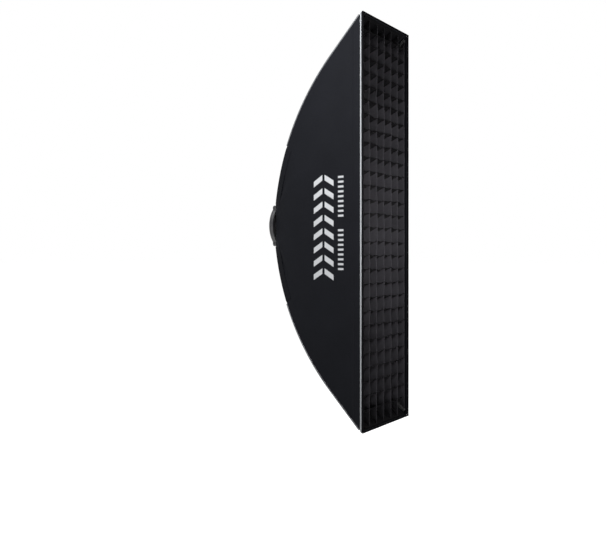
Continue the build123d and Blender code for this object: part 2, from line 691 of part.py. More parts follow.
with BuildPart() as inner_strips:
    with Locations(*[(x, grid_middle, 0) for x in column_places]):
        Box(STRIP, GRID_DEPTH, FACE_HEIGHT)
    extrude(height_face(INNER_STRIP_INSET).sketch, amount=FACE_WIDTH, both=True, mode=Mode.INTERSECT)
    with Locations(*[(0, grid_middle + GRID_DEPTH / 4, z) for z in row_heights]):
        Box(FACE_WIDTH, GRID_DEPTH / 2, SLOT, mode=Mode.SUBTRACT)
with BuildPart() as outer_strips:
    with Locations(*[(side * GRID_HALF_WIDTH, grid_middle, 0) for side in SIDES.values()]):
        Box(STRIP, GRID_DEPTH, FACE_HEIGHT)
    extrude(height_face(OUTER_STRIP_INSET).sketch, amount=FACE_WIDTH, both=True, mode=Mode.INTERSECT)
with BuildPart() as grid_vertical_strips:
    add(inner_strips.part)
    add(outer_strips.part)
save(grid_vertical_strips, "grid_vertical_strips")

with BuildPart() as grid_horizontal_strips:
    for z in row_heights:
        reach = GRID_HALF_WIDTH - STRIP / 2 - CLEAR
        if abs(z) > CORNER_ROW_Z:
            reach = BORDER_HALF_WIDTH
        with Locations((0, grid_middle, z)):
            Box(2 * reach, GRID_DEPTH, STRIP)
    with Locations(*[(x, grid_middle - GRID_DEPTH / 4, 0) for x in column_places]):
        Box(SLOT, GRID_DEPTH / 2, FACE_HEIGHT, mode=Mode.SUBTRACT)
save(grid_horizontal_strips, "grid_horizontal_strips")

for end_name, level in (("top", 1), ("bottom", -1)):
    border = end_strip(level, BORDER_INSETS, GRID_FRONT, grid_rear, BORDER_HALF_WIDTH)
    save(border, f"grid_{end_name}_border")
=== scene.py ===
import json
import math
import random
from itertools import product

import bpy
import numpy as np
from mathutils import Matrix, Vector


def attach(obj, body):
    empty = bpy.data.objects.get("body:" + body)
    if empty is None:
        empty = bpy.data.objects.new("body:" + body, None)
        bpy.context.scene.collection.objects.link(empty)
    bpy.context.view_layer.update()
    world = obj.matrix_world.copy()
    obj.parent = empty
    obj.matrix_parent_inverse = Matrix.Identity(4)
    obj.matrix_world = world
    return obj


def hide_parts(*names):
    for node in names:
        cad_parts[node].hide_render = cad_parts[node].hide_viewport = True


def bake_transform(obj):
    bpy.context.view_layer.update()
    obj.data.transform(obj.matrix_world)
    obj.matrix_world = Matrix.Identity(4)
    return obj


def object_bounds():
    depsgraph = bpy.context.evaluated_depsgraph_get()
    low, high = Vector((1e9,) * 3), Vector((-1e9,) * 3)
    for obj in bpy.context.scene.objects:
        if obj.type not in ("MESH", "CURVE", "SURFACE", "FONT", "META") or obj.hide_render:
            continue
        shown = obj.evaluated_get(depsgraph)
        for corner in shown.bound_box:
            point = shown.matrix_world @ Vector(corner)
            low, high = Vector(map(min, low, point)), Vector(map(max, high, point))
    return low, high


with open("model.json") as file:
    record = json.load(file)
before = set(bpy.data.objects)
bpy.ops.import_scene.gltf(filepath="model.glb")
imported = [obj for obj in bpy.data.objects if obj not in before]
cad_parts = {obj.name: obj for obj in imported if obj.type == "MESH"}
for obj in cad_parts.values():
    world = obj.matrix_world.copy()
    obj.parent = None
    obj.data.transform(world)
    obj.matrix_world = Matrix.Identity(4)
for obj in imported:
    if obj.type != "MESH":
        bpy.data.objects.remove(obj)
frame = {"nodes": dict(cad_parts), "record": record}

# Strip softbox: black cloth shell with silver piping, cloth grid in front, folding speed ring.
# Metres throughout. +Z is up, the lit face looks along -Y, the lamp is on the +Y side.

CAD_LOW, CAD_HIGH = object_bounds()
scene = bpy.context.scene
random.seed(7)

# ---- driving dimensions, as in the CAD ----
FRONT = CAD_LOW.y
HALF_WIDTH = 0.150
HALF_HEIGHT = 0.600
LIP_DEPTH = 0.006
LIP_WALL = 0.0035
FABRIC = 0.0012
LINING = 0.0006
TIP_Y, TIP_Z = FRONT + 0.008, 0.597
SLOPE = math.radians(46.7)
STRAIGHT = 0.151
RADIUS = 0.859
ROOT_X, ROOT_Z = 0.0614, 0.072
TIP_X = 0.150
SHELL_FRONT = FRONT + 0.0112
PIPING_R = 0.0024
PIPING_Y = FRONT + 0.0085
PIPING_X = 0.1492
PIPING_Z = 0.598
PIPING_CORNER = 0.006
CORNER_R = 0.0022
CORNER_TOP_Z = 0.591
CORNER_END_Z = 0.245
FLAP_WIDTH = 0.026
FLAP_START_Z = 0.068
FLAP_FRONT_Z = 0.238
GRID_FRONT = FRONT + 0.010
GRID_DEPTH = 0.038
GRID_HALF_X, GRID_HALF_Z = 0.139, 0.588
COLUMNS, ROWS = 6, 29
DIFFUSER_Y = FRONT + 0.052
DIFFUSER_X, DIFFUSER_Z = 0.137, 0.549
NOTCH = 0.024
BAFFLE_Y = FRONT + 0.170
BAFFLE_X, BAFFLE_Z = 0.098, 0.390
KNEE_Y = TIP_Y + STRAIGHT * math.sin(SLOPE)
KNEE_Z = TIP_Z - STRAIGHT * math.cos(SLOPE)
CENTRE_Y = KNEE_Y - RADIUS * math.cos(SLOPE)
CENTRE_Z = KNEE_Z - RADIUS * math.sin(SLOPE)
SPREAD = (TIP_X - ROOT_X) / (TIP_Z - ROOT_Z)
SIDES = {"left": -1, "right": 1}
LEVELS = {"upper": 1, "lower": -1}
ENDS = {"upper": "top", "lower": "bottom"}


def seam_y(z):
    """Y of the shell's corner at the height z."""
    z = np.asarray(z, float)
    arc = CENTRE_Y + np.sqrt(np.maximum(RADIUS**2 - (z - CENTRE_Z) ** 2, 0))
    return np.where(z >= KNEE_Z, TIP_Y + (TIP_Z - z) * math.tan(SLOPE), arc)


def seam_z(y):
    """Height of the shell's corner at the depth y."""
    y = np.asarray(y, float)
    line = TIP_Z - (y - TIP_Y) / math.tan(SLOPE)
    arc = CENTRE_Z + np.sqrt(np.maximum(RADIUS**2 - (y - CENTRE_Y) ** 2, 0))
    return np.where(y <= KNEE_Y, line, arc)


def half_x(y):
    """Half width of the shell at the depth y."""
    return ROOT_X + (seam_z(y) - ROOT_Z) * SPREAD


SHELL_REAR = float(seam_y(ROOT_Z)) - 0.0015


def ease(x):
    """Smooth step from 0 to 1."""
    x = np.clip(x, 0, 1)
    return x * x * (3 - 2 * x)


def add_object(name, data):
    """New object in the scene."""
    obj = bpy.data.objects.new(name, data)
    scene.collection.objects.link(obj)
    return obj


# ---- camera ----
IMAGE_WIDTH = 607
FOCAL_PIXELS = 799.0
HORIZON_ABOVE_CENTRE = 14.92
SENSOR_WIDTH = 36.0
CAMERA_PLACE = (-2.1478, FRONT - 1.0822, -0.0934)
VIEW_DIRECTION = Vector((0.8412, 0.5406, 0.0))
camera_data = bpy.data.cameras.new("camera")
camera_data.sensor_width = SENSOR_WIDTH
camera_data.lens = SENSOR_WIDTH * FOCAL_PIXELS / IMAGE_WIDTH
camera_data.shift_y = -HORIZON_ABOVE_CENTRE / IMAGE_WIDTH
camera = add_object("camera", camera_data)
camera.location = CAMERA_PLACE
camera.rotation_euler = (math.pi / 2, 0, -math.atan2(VIEW_DIRECTION.x, VIEW_DIRECTION.y))
bpy.context.scene.camera = camera

# ---- materials ----
class Nodes:
    """Short way to build a procedural material."""

    def __init__(self, name, roughness, specular=0.5, metallic=0.0, sheen=0.0):
        self.material = bpy.data.materials.new(name)
        self.material.use_nodes = True
        self.tree = self.material.node_tree
        self.shader = self.tree.nodes["Principled BSDF"]
        self.set("Roughness", roughness)
        self.set("Specular IOR Level", specular)
        self.set("Metallic", metallic)
        self.set("Sheen Weight", sheen)

    def set(self, name, value):
        self.shader.inputs[name].default_value = value

    def node(self, kind, inputs=(), **settings):
        node = self.tree.nodes.new("ShaderNode" + kind)
        for key, value in settings.items():
            setattr(node, key, value)
        for key, value in dict(inputs).items():
            self.feed(node.inputs[key], value)
        return node

    def feed(self, socket, value):
        if isinstance(value, bpy.types.NodeSocket):
            self.tree.links.new(value, socket)
        else:
            socket.default_value = value

    def math(self, operation, a, b=0.0, c=0.0):
        return self.node("Math", {0: a, 1: b, 2: c}, operation=operation).outputs[0]

    def add(self, a, b):
        return self.math("ADD", a, b)

    def times(self, a, b):
        return self.math("MULTIPLY", a, b)

    def uv(self, scale=(1, 1, 1), turn=0.0):
        """Cloth coordinates in metres, scaled."""
        source = self.node("UVMap", uv_map="metres").outputs[0]
        settings = {"Vector": source, "Scale": scale, "Rotation": (0, 0, turn)}
        return self.node("Mapping", settings).outputs[0]

    def place(self, scale=(1, 1, 1)):
        """Coordinates of the solid itself, in metres, scaled."""
        source = self.node("TexCoord").outputs["Object"]
        return self.node("Mapping", {"Vector": source, "Scale": scale}).outputs[0]

    def noise(self, vector, scale, detail=3.0, rough=0.55):
        settings = {"Vector": vector, "Scale": scale, "Detail": detail, "Roughness": rough}
        return self.node("TexNoise", settings).outputs["Fac"]

    def wave(self, vector, scale, distortion=0.0, axis="X"):
        settings = {"Vector": vector, "Scale": scale, "Distortion": distortion}
        return self.node("TexWave", settings, bands_direction=axis).outputs["Fac"]

    def ramp(self, value, low, high, out_low=0.0, out_high=1.0):
        settings = {"Value": value, 1: low, 2: high, 3: out_low, 4: out_high}
        return self.node("MapRange", settings).outputs["Result"]

    def mix(self, share, a, b):
        node = self.node("Mix", data_type="RGBA")
        for name, value in (("Factor_Float", share), ("A_Color", a), ("B_Color", b)):
            socket = next(s for s in node.inputs if s.identifier == name)
            if isinstance(value, tuple):
                value = (*value, 1.0)
            self.feed(socket, value)
        return next(s for s in node.outputs if s.identifier == "Result_Color")

    def bump(self, *layers):
        """Stacked bumps, each (height, distance in metres)."""
        normal = None
        for height, distance in layers:
            settings = {"Height": height, "Distance": distance, "Strength": 1.0}
            if normal:
                settings["Normal"] = normal
            normal = self.node("Bump", settings).outputs[0]
        self.feed(self.shader.inputs["Normal"], normal)

    def vary(self, value, colour, low, high):
        """The colour, from darker to lighter with the value."""
        return self.mix(self.ramp(value, 0.3, 0.7), shade(colour, low), shade(colour, high))

    def colour(self, value):
        self.feed(self.shader.inputs["Base Color"], value)

    def roughness(self, value):
        self.feed(self.shader.inputs["Roughness"], value)


def weave_height(n, threads, turn=0.0):
    """Plain weave: threads per metre over and under."""
    wave_scale = threads / 20
    along = n.wave(n.uv(turn=turn), wave_scale, axis="X")
    across = n.wave(n.uv(turn=turn), wave_scale, axis="Y")
    return n.math("MAXIMUM", along, across)


def shade(colour, factor):
    return tuple(c * factor for c in colour)


def cloth_material(name, colour, roughness, specular, sheen, threads, turn=0.0, mark=False):
    """Woven cloth with uneven dye, coating that catches the light and a fine weave."""
    n = Nodes(name, roughness, specular, sheen=sheen)
    n.set("Sheen Roughness", 0.45)
    weave = weave_height(n, threads, turn)
    mottle = n.noise(n.uv(), 9.0, 4.0)
    fine = n.noise(n.uv(), 420.0, 2.0)
    base = n.vary(mottle, colour, 0.86, 1.12)
    base = n.mix(n.times(n.ramp(weave, 0.2, 0.9), 0.35), base, shade(colour, 1.35))
    wear = n.times(n.ramp(n.noise(n.uv((1, 0.35, 1)), 60.0, 5.0, 0.7), 0.62, 0.8), 0.3)
    base = n.mix(wear, base, shade(colour, 1.7))
    rough = n.ramp(n.add(mottle, n.times(fine, 0.3)), 0.4, 0.9, roughness - 0.07, roughness + 0.07)
    if mark:
        printed = mark_mask(n, fine)
        base = n.mix(printed, base, (0.27, 0.275, 0.285))
        rough = n.add(rough, n.times(printed, -0.08))
    n.colour(base)
    n.roughness(rough)
    n.bump((mottle, 0.0006), (weave, 0.00012), (fine, 0.00006))
    return n.material


MARK_BOX = (0.1090, 0.1870, 0.158)     # front and rear edge behind the face, half height
MARK_LINE = (0.0715, 0.0925, 0.141)
MARK_LINE_PITCH = 0.0141
MARK_PITCH = 0.0395
MARK_SLANT = 0.55


def mark_mask(n, fine):
    """Plain geometric print: a band of chevrons and a narrower band of bars."""
    split = n.node("SeparateXYZ", {0: n.uv()})
    depth, height = split.outputs[0], split.outputs[1]
    edge = 0.0004

    def off_middle(box):
        return n.math("ABSOLUTE", n.add(depth, -(box[0] + box[1]) / 2))

    def band(box, level):
        off = off_middle(box)
        half = (box[1] - box[0]) / 2
        inside = n.ramp(off, half - edge, half, 1.0, 0.0)
        tall = n.ramp(n.math("ABSOLUTE", level), box[2] - edge, box[2], 1.0, 0.0)
        return off, n.times(inside, tall)

    def stripes(value, pitch, share):
        part = n.math("PINGPONG", n.times(value, 2 / pitch), 1.0)
        soft = 2 * edge / pitch
        return n.ramp(part, 1 - share - soft, 1 - share + soft)

    off, block = band(MARK_BOX, n.add(height, n.times(off_middle(MARK_BOX), MARK_SLANT)))
    lean = n.add(height, n.times(off, MARK_SLANT))
    chevrons = stripes(lean, MARK_PITCH, 0.42)
    spine = n.ramp(off, 0.0042, 0.0042 + edge, 0.0, 1.0)
    line = band(MARK_LINE, height)[1]
    bars = stripes(height, MARK_LINE_PITCH, 0.42)
    gap = n.ramp(n.math("ABSOLUTE", height), 0.0105, 0.0105 + edge, 0.0, 1.0)
    print_area = n.add(
        n.times(n.times(block, chevrons), spine), n.times(n.times(line, bars), gap)
    )
    worn = n.ramp(fine, 0.30, 0.36, 0.82, 1.0)
    return n.times(print_area, worn)


def silver_material(name):
    """Reflective coated lining with a pebbled emboss."""
    n = Nodes(name, 0.34, 0.5, metallic=0.75)
    pebble = n.noise(n.uv(), 900.0, 2.0)
    crinkle = n.noise(n.uv(), 26.0, 5.0, 0.6)
    n.colour(n.mix(n.ramp(crinkle, 0.3, 0.7), (0.66, 0.67, 0.69), (0.78, 0.79, 0.81)))
    n.roughness(n.ramp(pebble, 0.3, 0.7, 0.28, 0.42))
    n.bump((crinkle, 0.0008), (pebble, 0.00015))
    return n.material


def piping_material(name, silver):
    """Silver-grey tape wrapped round a cord, its threads on the bias."""
    n = Nodes(name, 0.42, 0.4, sheen=0.25)
    thread = n.wave(n.uv(turn=math.radians(45)), 130.0, 0.4)
    grime = n.noise(n.uv(), 70.0, 4.0)
    base = n.mix(n.ramp(grime, 0.35, 0.75), silver, shade(silver, 0.83))
    n.colour(n.mix(n.times(thread, 0.4), base, shade(silver, 1.17)))
    n.roughness(n.ramp(grime, 0.2, 0.8, 0.36, 0.5))
    n.bump((thread, 0.0001), (grime, 0.0002))
    return n.material


def diffusion_material(name):
    """White diffusion cloth: soft, slightly translucent, with a ripstop grid."""
    n = Nodes(name, 0.75, 0.2, sheen=0.15)
    n.set("Subsurface Weight", 0.25)
    n.set("Subsurface Radius", (0.004, 0.004, 0.004))
    n.set("Subsurface Scale", 1.0)
    weave = weave_height(n, 1800)
    rip = n.ramp(weave_height(n, 170), 0.97, 1.0)
    cloud = n.noise(n.uv(), 12.0, 4.0)
    base = n.mix(n.ramp(cloud, 0.3, 0.7), (0.84, 0.84, 0.82), (0.88, 0.88, 0.87))
    n.colour(n.mix(n.times(rip, 0.35), base, (0.93, 0.93, 0.92)))
    n.roughness(n.ramp(cloud, 0.2, 0.8, 0.7, 0.8))
    n.bump((cloud, 0.001), (n.add(rip, n.times(weave, 0.5)), 0.0001))
    return n.material


def hook_material(name):
    """White hook tape: dense rows of tiny hooks."""
    n = Nodes(name, 0.8, 0.25, sheen=0.3)
    rows = n.times(n.wave(n.uv(), 80.0), n.wave(n.uv(), 80.0, axis="Y"))
    fuzz = n.noise(n.uv(), 800.0, 3.0)
    n.colour(n.mix(n.ramp(rows, 0.2, 0.7), (0.62, 0.62, 0.6), (0.82, 0.82, 0.8)))
    n.roughness(n.ramp(fuzz, 0.2, 0.8, 0.7, 0.9))
    n.bump((rows, 0.0004), (fuzz, 0.0002))
    return n.material


def metal_material(name, colour, roughness, metallic, grain=(1, 1, 1), bump=0.00003, wear=None):
    """Metal with a fine directional grain, smudges and edges rubbed brighter."""
    n = Nodes(name, roughness, 0.5, metallic=metallic)
    lines = n.noise(n.place(grain), 260.0, 4.0, 0.6)
    smudge = n.noise(n.place(), 22.0, 4.0)
    base = n.vary(lines, colour, 0.82, 1.15)
    if wear:
        sharp = n.node("NewGeometry").outputs["Pointiness"]
        rub = n.times(n.ramp(sharp, 0.56, 0.64), n.ramp(smudge, 0.35, 0.6))
        base = n.mix(n.times(rub, 0.7), base, wear)
    n.colour(base)
    n.roughness(n.ramp(n.add(smudge, n.times(lines, 0.4)), 0.4, 1.0, roughness - 0.1, roughness + 0.12))
    n.bump((lines, bump))
    return n.material


def moulded_material(name, colour, roughness):
    """Moulded plastic or rubber with a spark-eroded texture and scuffed edges."""
    n = Nodes(name, roughness, 0.45)
    pits = n.noise(n.place(), 900.0, 2.0)
    smudge = n.noise(n.place(), 60.0, 4.0)
    sharp = n.node("NewGeometry").outputs["Pointiness"]
    base = n.vary(smudge, colour, 0.85, 1.2)
    n.colour(n.mix(n.times(n.ramp(sharp, 0.52, 0.6), 0.5), base, shade(colour, 2.6)))
    n.roughness(n.ramp(smudge, 0.2, 0.8, roughness - 0.08, roughness + 0.08))
    n.bump((pits, 0.00008))
    return n.material


def ribbed_material(name, colour, ribs):
    """Narrow woven tape with ribs across it."""
    n = Nodes(name, 0.7, 0.25, sheen=0.3)
    rib = n.wave(n.uv(), ribs / 20, 0.3)
    fuzz = n.noise(n.uv(), 500.0, 3.0)
    n.colour(n.mix(n.ramp(rib, 0.2, 0.9), shade(colour, 0.7), shade(colour, 1.5)))
    n.roughness(n.ramp(fuzz, 0.2, 0.8, 0.62, 0.8))
    n.bump((rib, 0.0003), (fuzz, 0.00008))
    return n.material


BLACK = (0.0047, 0.0050, 0.0063)
CAST = (1, 1, 1), 0.00008       # even grain and its height on the painted castings
MATERIALS = {name: make(name, *settings) for name, make, *settings in (
    ("marked_cloth", cloth_material, BLACK, 0.62, 0.02, 0.01, 1500, 0.0, True),
    ("black_shell_cloth", cloth_material, BLACK, 0.62, 0.02, 0.01, 1500),
    ("flap_cloth", cloth_material, shade(BLACK, 0.85), 0.66, 0.02, 0.01, 1300),
    ("lip_cloth", cloth_material, (0.0025, 0.0025, 0.0030), 0.85, 0.02, 0.0, 1100, 0.78),
    # The grid cloth is painted lighter than the shell cloth, painted light on the shaded cell walls;
    # the next is a far darker copy of it, painted shade under the level strips.
    ("grid_cloth", cloth_material, (0.0290, 0.0277, 0.0315), 0.8, 0.04, 0.02, 1400),
    ("rung_cloth", cloth_material, (0.0020, 0.0019, 0.0023), 0.85, 0.03, 0.01, 1400),
    ("silver_lining", silver_material),
    ("silver_piping", piping_material, (0.165, 0.173, 0.184)),
    # A darker copy of the silver piping for the rear corner seams, painted shade.
    ("corner_piping", piping_material, (0.055, 0.058, 0.062)),
    ("diffusion_cloth", diffusion_material),
    ("hook_tape", hook_material),
    ("webbing", ribbed_material, (0.009, 0.009, 0.0095), 900),
    ("elastic", ribbed_material, (0.03, 0.03, 0.03), 1200),
    ("bayonet_metal", metal_material, (0.55, 0.55, 0.56), 0.32, 1.0, (0.2, 3, 0.2)),
    ("ring_metal", metal_material, (0.012, 0.012, 0.013), 0.34, 0.0, *CAST, (0.10, 0.10, 0.105)),
    ("steel_hardware", metal_material, (0.45, 0.45, 0.46), 0.3, 1.0),
    ("knob_plastic", moulded_material, (0.02, 0.02, 0.02), 0.55),
    ("socket_metal", metal_material, (0.015, 0.015, 0.015), 0.4, 0.0, *CAST, (0.10, 0.10, 0.10)),
    ("spring_rod", metal_material, (0.25, 0.25, 0.26), 0.3, 1.0, (1, 0.3, 0.1)),
    ("cap_rubber", moulded_material, (0.02, 0.02, 0.02), 0.75),
)}
slot_of = {row["node"]: row["material_slot"] for row in frame["record"]["subparts"]}
for name, node in frame["nodes"].items():
    node.data.materials.clear()
    node.data.materials.append(MATERIALS[slot_of[name]])

# ---- mesh builders ----
def make_object(name, points, faces, uvs, flat, material):
    """Mesh object; flat marks the faces that keep hard edges, such as a cloth's cut rim."""
    mesh = bpy.data.meshes.new(name)
    mesh.from_pydata(points.tolist(), [], faces)
    layer = mesh.uv_layers.new(name="metres")
    corners = np.empty(len(mesh.loops), int)
    mesh.loops.foreach_get("vertex_index", corners)
    layer.data.foreach_set("uv", uvs[corners].astype(np.float32).ravel())
    mesh.polygons.foreach_set("use_smooth", [not f for f in flat])
    mesh.materials.append(MATERIALS[material])
    mesh.update()
    return add_object(name, mesh)


def grid_faces(rows, columns, start=0, flip=False):
    """Quads of a grid of rows x columns points."""
    faces = []
    for i, j in product(range(rows - 1), range(columns - 1)):
        a = start + i * columns + j
        face = (a, a + columns, a + columns + 1, a + 1)
        faces.append(face[::-1] if flip else face)
    return faces


def stacked(*values):
    """Points or cloth coordinates from values that are spread over one shape."""
    return np.stack(np.broadcast_arrays(*values), axis=-1)


def mirrored(half):
    """Adds the other side to places that run out from the middle."""
    return np.concatenate([-half[..., :0:-1], half], axis=-1)


def run_of(path):
    """Length along a path up to each of its points."""
    return np.concatenate([[0], np.cumsum(np.linalg.norm(np.diff(path, axis=0), axis=1))])


def sheet_parts(outer, uv, thickness, outward):
    """Points, faces, UVs and flat flags of a closed thin sheet whose outer face is given."""
    rows, columns = outer.shape[:2]
    du, dv = np.gradient(outer, axis=0), np.gradient(outer, axis=1)
    normal = np.cross(du, dv)
    normal /= np.maximum(np.linalg.norm(normal, axis=2, keepdims=True), 1e-12)
    flip = float((normal * np.asarray(outward)).sum()) < 0
    if flip:
        normal = -normal
    inner = outer - normal * thickness
    count = rows * columns
    points = np.concatenate([outer.reshape(-1, 3), inner.reshape(-1, 3)])
    faces = grid_faces(rows, columns, 0, flip)
    faces += grid_faces(rows, columns, count, not flip)
    flat = [False] * len(faces)
    index = np.arange(count).reshape(rows, columns)
    sides = index[:, 0], index[-1, 1:], index[-2::-1, -1], index[0, -2:0:-1]
    ring = np.concatenate(sides).tolist()
    for a, b in zip(ring, ring[1:] + ring[:1]):
        face = (a, a + count, b + count, b)
        faces.append(face[::-1] if flip else face)
        flat.append(True)
    return points, faces, np.concatenate([uv.reshape(-1, 2)] * 2), flat


def join_parts(name, parts, material):
    """One object from several sets of points and faces."""
    points, faces, uvs, flat, start = [], [], [], [], 0
    for p, f, u, hard in parts:
        points.append(p)
        uvs.append(u)
        faces += [tuple(i + start for i in face) for face in f]
        flat += hard
        start += len(p)
    return make_object(name, np.concatenate(points), faces, np.concatenate(uvs), flat, material)


def tube_parts(path, profile, up=(1.0, 0.0, 0.0)):
    """Closed tube along a path of n points; profile is n x m x 2, a (side, up) section at each."""
    path = np.asarray(path, float)
    tangent = np.gradient(path, axis=0)
    tangent /= np.linalg.norm(tangent, axis=1, keepdims=True)
    side = np.cross(tangent, np.asarray(up, float))
    side /= np.linalg.norm(side, axis=1, keepdims=True)
    top = np.cross(side, tangent)
    sections = (
        path[:, None, :]
        + side[:, None, :] * profile[:, :, 0:1]
        + top[:, None, :] * profile[:, :, 1:2]
    )
    n, m = profile.shape[:2]
    steps = np.linalg.norm(np.diff(profile[0], axis=0, append=profile[0][:1]), axis=1)
    girth = np.concatenate([[0], np.cumsum(steps)])[:m]
    uv = stacked(run_of(path)[:, None], girth)
    outward = np.cross(np.append(profile[0][0], 0), np.append(profile[0][1], 0))[2] > 0
    faces = []
    for i, j in product(range(n - 1), range(m)):
        k = (j + 1) % m
        face = (i * m + j, i * m + k, (i + 1) * m + k, (i + 1) * m + j)
        faces.append(face if outward else face[::-1])
    flat = [False] * len(faces) + [True, True]
    first, last = tuple(range(m)), tuple(range((n - 1) * m, n * m))
    faces += [first[::-1], last] if outward else [first, last[::-1]]
    return sections.reshape(-1, 3), faces, uv.reshape(-1, 2), flat


def circle(radius, count=14):
    turn = np.linspace(0, 2 * math.pi, count, endpoint=False)
    return stacked(radius * np.cos(turn), radius * np.sin(turn))


def rounded(width, height, radius):
    """Rounded rectangle about its centre."""
    points = []
    for corner, (sx, sy) in enumerate(((1, 1), (-1, 1), (-1, -1), (1, -1))):
        for turn in np.linspace(0, math.pi / 2, 4) + corner * math.pi / 2:
            x = sx * (width / 2 - radius) + radius * math.cos(turn)
            y = sy * (height / 2 - radius) + radius * math.sin(turn)
            points.append((x, y))
    return np.array(points)


PUCKER = 0.012                  # share by which a sewn edge swells and tightens
STITCH_PITCH = 0.011            # of the cords, one pucker to a pair of stitches
BINDING_PITCH = 0.031
SLOW_SWELL, SWELL_START = 61.0, 1.3     # radians per metre, radians


def puckered(profile, path, pitch):
    """Section that swells and tightens along the path, as a sewn cord does."""
    run = run_of(path)
    stitches = PUCKER * np.sin(run * 2 * math.pi / pitch)
    wave = 1 + stitches + PUCKER * np.sin(run * SLOW_SWELL + SWELL_START)
    return profile[None] * wave[:, None, None]


def straight(start, end, step):
    """Points on a straight line."""
    start, end = np.asarray(start, float), np.asarray(end, float)
    count = max(2, round(np.linalg.norm(end - start) / step) + 1)
    return start + (end - start) * np.linspace(0, 1, count)[:, None]


# ---- motion ----
SEAM_GAP = 0.0025       # from the shell's corner to the last of the cloth
SOFT_START = 0.06       # share of the height over which the turn sets in
INSERT_REACH = 0.9      # beyond this share the diffuser's and grid's share of the turn is whole, clear of the rods


def follow(obj, level_name, still="shell", turning=None):
    """Bakes the cloth's placement into its mesh and works out, for each point, its share of the turn
    between a still body and a folding one.
    The share grows with the height over the height of the shell's corner at that depth, so the cloth
    would never run over itself; it is not applied to the mesh."""
    level = LEVELS[level_name]
    turning = turning or f"{level_name}_arms"
    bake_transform(obj)
    co = np.array([v.co for v in obj.data.vertices], float)
    reach = seam_z(np.maximum(co[:, 1], TIP_Y)) - SEAM_GAP
    if still != "shell":
        reach = reach * INSERT_REACH
    u = np.clip(level * co[:, 2] / reach, 0, 1)
    u = (np.hypot(u, SOFT_START) - SOFT_START) / (math.hypot(1, SOFT_START) - SOFT_START)
    return obj


def settle(obj, slot, body=None, replaces=(), level=None, still="shell", turning=None):
    """Hides the CAD nodes a piece stands for, then attaches it to its body or, with no body, runs
    follow on it. The slot is not used.
    """
    if replaces:
        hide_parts(*replaces)
    if body:
        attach(obj, body)
    else:
        follow(obj, level, still, turning)
    return obj


def sheet_piece(name, surface, uv, thickness, outward, finish, slot=None, **home):
    """Settled object of one closed sheet."""
    parts = sheet_parts(surface, uv, thickness, outward)
    return settle(join_parts(name, [parts], finish), slot or finish, **home)


# ---- shell cloth ----
def ridge(distance, start, end, height, stitch):
    """A hem: a second layer from start to end, with a stitched groove near its inner edge."""
    soft = 0.0008
    layer = ease((distance - start) / soft) * (1 - ease((distance - end) / soft))
    groove = np.exp(-(((distance - stitch) / 0.0007) ** 2))
    return height * layer - 0.55 * height * groove


def stations(marks, step):
    """Sorted places that hold all the marks and fill the gaps between them by about step."""
    places = []
    for a, b in zip(marks, marks[1:]):
        count = max(1, round((b - a) / step))
        places += list(np.linspace(a, b, count, endpoint=False))
    return np.array([*places, marks[-1]])


HEM = 0.0215                # hem behind the face, under the piping's stitching
HEM_HEIGHT = 0.0007
HEM_STITCH = HEM - 0.0028
CORNER_HEM = (0.0024, 0.0120, 0.0006, 0.0098)   # start, end, height and stitching of a hem
REAR_HEM = (0.0, 0.0125, 0.0008, 0.0118)
CLOTH_STEP = 0.0085
CLOTH_DEPTH = SHELL_REAR - SHELL_FRONT
HEM_MARKS = [0, 0.0009, 0.002, HEM - 0.0042, HEM_STITCH, HEM - 0.0014, HEM, HEM + 0.001, 0.05]
REAR_MARKS = [CLOTH_DEPTH - back for back in (0.0145, 0.013, 0.0115, 0.001, 0)]
depths = SHELL_FRONT + stations(HEM_MARKS + REAR_MARKS, CLOTH_STEP)
EDGE = np.array([0.0022, 0.0030, 0.0042, 0.0085, 0.0098, 0.0111, 0.0128, 0.0138])
SELVAGE = 0.0006            # narrow row beside a cut edge, so that the rim's normal stays there
INNER_LAP = 0.001           # inner cloths reach this much further into the corner
run_along = run_of(stacked(depths, seam_z(depths)))[:, None]
plan_along = run_of(stacked(depths, half_x(depths)))[:, None]


def across(reach):
    """Distances from the middle out to the edge, for a cloth that reaches so far."""
    inner = np.linspace(0, 1, 25)[1:-1] * (reach - EDGE[-1])
    return np.concatenate([[0, SELVAGE], inner, reach - EDGE[::-1]])


def hems(behind, from_edge, from_rear):
    """Height of the sewn hems along a cloth's front, corner and rear edges."""
    front = ridge(behind, 0.0, HEM, HEM_HEIGHT, HEM_STITCH)
    corner = ridge(from_edge, *CORNER_HEM)
    rear = ridge(from_rear, *REAR_HEM)
    return np.maximum(np.maximum(front, corner), rear)


PULL_HEIGHT, SOFT_HEIGHT = 0.0011, 0.0004
BELLY = 0.0009              # how far a side panel sinks in at mid height
CALM = 0.35                 # share of the height over which the pulls set in


def creases(depth, u, phase, level):
    """Shallow pulls that run forward from the ring, and softer ones in from the front corners."""
    back = ease((depth - FRONT - 0.20) / 0.15)
    edge = 1 - ease((u - 0.75) / 0.25)
    pull = np.cos(math.pi * (4.6 + phase) * u) + 0.5 * np.cos(math.pi * (9.2 - phase) * u)
    lean = 0.35 * level * u * u * np.sin(9.0 * u + 14.0 * (depth - FRONT) + phase)
    soft = 0.5 * np.cos(math.pi * 2.6 * u) * ease((depth - FRONT - 0.02) / 0.08)
    return edge * (PULL_HEIGHT * back * (pull + lean) + SOFT_HEIGHT * soft * (1 - back))


def side_surface(side, level, inset, hemmed, phase):
    """Half of a side cloth: rows along the depth, columns from the middle to the corner."""
    reach = seam_z(depths)
    z = np.array([across(r + (0 if hemmed else INNER_LAP)) for r in reach])
    y = depths[:, None]
    u = z / reach[:, None]
    belly = BELLY * ease(1 - u) * ease((y - FRONT - 0.03) / 0.1)
    lift = creases(y, u, phase, level) * ease(u / CALM) - belly
    if hemmed:
        lift = lift + hems(y - SHELL_FRONT, reach[:, None] - z, SHELL_REAR - y)
    surface = stacked(side * (half_x(y) - inset + lift), y, level * z)
    return surface, stacked(plan_along + SHELL_FRONT - FRONT, level * z)


FRONT_FLAT = 0.012          # the end cloths swell straight up over this depth behind the face


